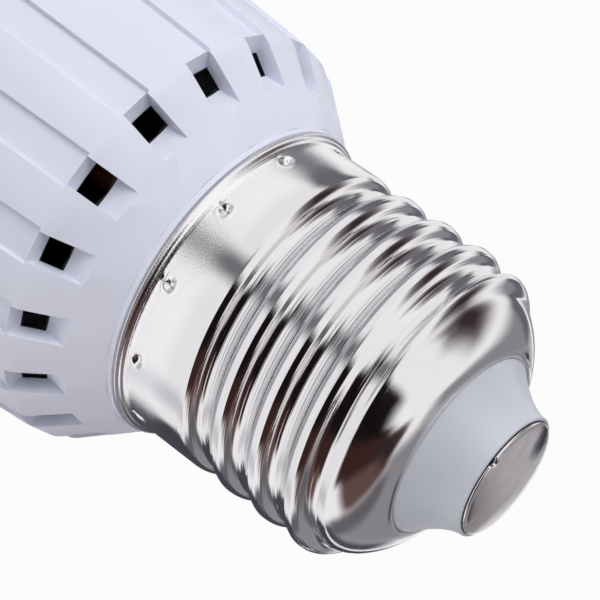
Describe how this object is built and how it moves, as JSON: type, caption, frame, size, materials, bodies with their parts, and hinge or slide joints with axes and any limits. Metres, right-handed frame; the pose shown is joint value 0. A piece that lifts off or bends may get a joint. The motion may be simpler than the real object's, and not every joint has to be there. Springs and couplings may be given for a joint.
{
  "type": "led spotlight bulb",
  "caption": "LED spotlight bulb with a ribbed, vented white plastic housing, a nickel screw cap and a flat clear front.",
  "frame": {"origin": "centre of the front ring's flat face, at the bottom of the lamp", "axes": "+Z along the lamp's axis from the front to the contact of the screw cap, -Y through the middle of one cooling groove"},
  "size_m": [0.05, 0.05, 0.0757],
  "materials": {
    "housing": "satin moulded white plastic, cool tint",
    "front_ring": "satin moulded white plastic",
    "front_cover": "clear polished polycarbonate",
    "led_board": "white solder mask on aluminium",
    "led_packages": "white moulded",
    "led_phosphors": "yellow silicone",
    "screw_shell": "bright nickel plate, finely scratched",
    "cap_insulator": "satin pale blue grey",
    "centre_contact": "nickel plate",
    "driver_board": "brown paper laminate",
    "film_capacitor": "dipped red brown",
    "storage_capacitor": "black sleeve",
    "fuse_resistor": "blue grey lacquer",
    "bridge_rectifier": "black moulded",
    "chip_resistors": "black glaze",
    "live_lead": "red insulation",
    "neutral_lead": "bare tinned wire",
    "led_lead_positive": "red insulation",
    "led_lead_negative": "black insulation"
  },
  "bodies": {
    "root": {"housing": "housing", "front_ring": "front_ring", "front_cover": "front_cover", "led_board": "led_board", "led_packages": "led_packages", "led_phosphors": "led_phosphors", "screw_shell": "screw_shell", "cap_insulator": "cap_insulator", "centre_contact": "centre_contact", "driver_board": "driver_board", "film_capacitor": "film_capacitor", "storage_capacitor": "storage_capacitor", "fuse_resistor": "fuse_resistor", "bridge_rectifier": "bridge_rectifier", "chip_resistors": "chip_resistors", "live_lead": "live_lead", "neutral_lead": "neutral_lead", "led_lead_positive": "led_lead_positive", "led_lead_negative": "led_lead_negative"}
  },
  "joints": []
}
